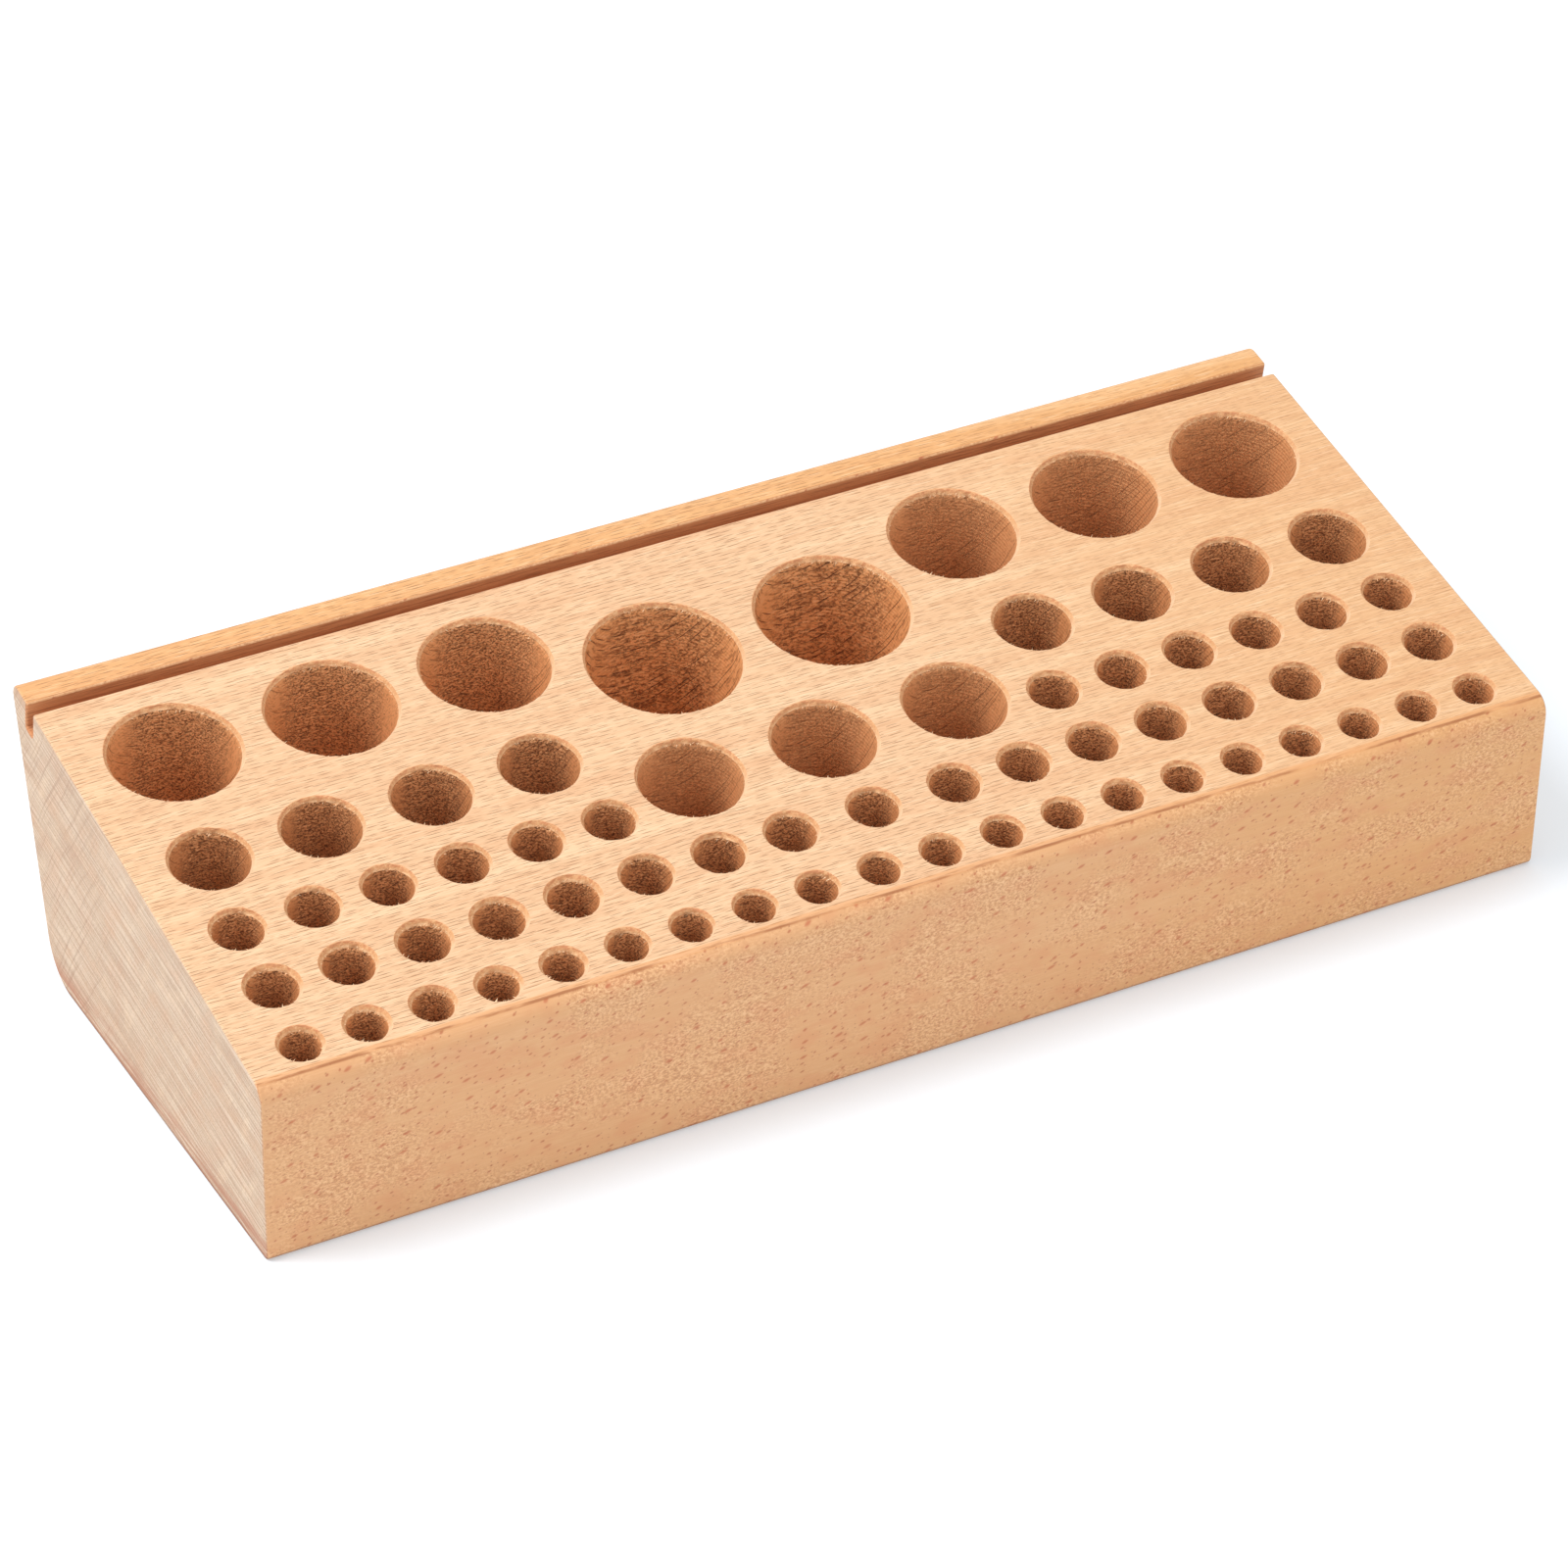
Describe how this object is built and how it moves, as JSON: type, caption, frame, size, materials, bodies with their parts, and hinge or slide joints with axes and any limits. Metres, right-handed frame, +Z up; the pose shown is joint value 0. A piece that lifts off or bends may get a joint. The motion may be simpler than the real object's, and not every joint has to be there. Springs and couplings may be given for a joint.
{
  "type": "tool storage block",
  "caption": "Wedge-shaped solid beech bench block with a sloped face full of graded blind bores and a narrow rear slot, for holding small tools upright.",
  "frame": {"origin": "middle of the footprint's bounding box, on the base", "axes": "+X along the length, left to right as seen from the low front; +Y from the low front face to the high rear face; +Z up"},
  "size_m": [0.27, 0.1135, 0.0616],
  "materials": {
    "beech": "sanded, unfinished"
  },
  "bodies": {
    "root": {"block": "beech"}
  },
  "joints": []
}
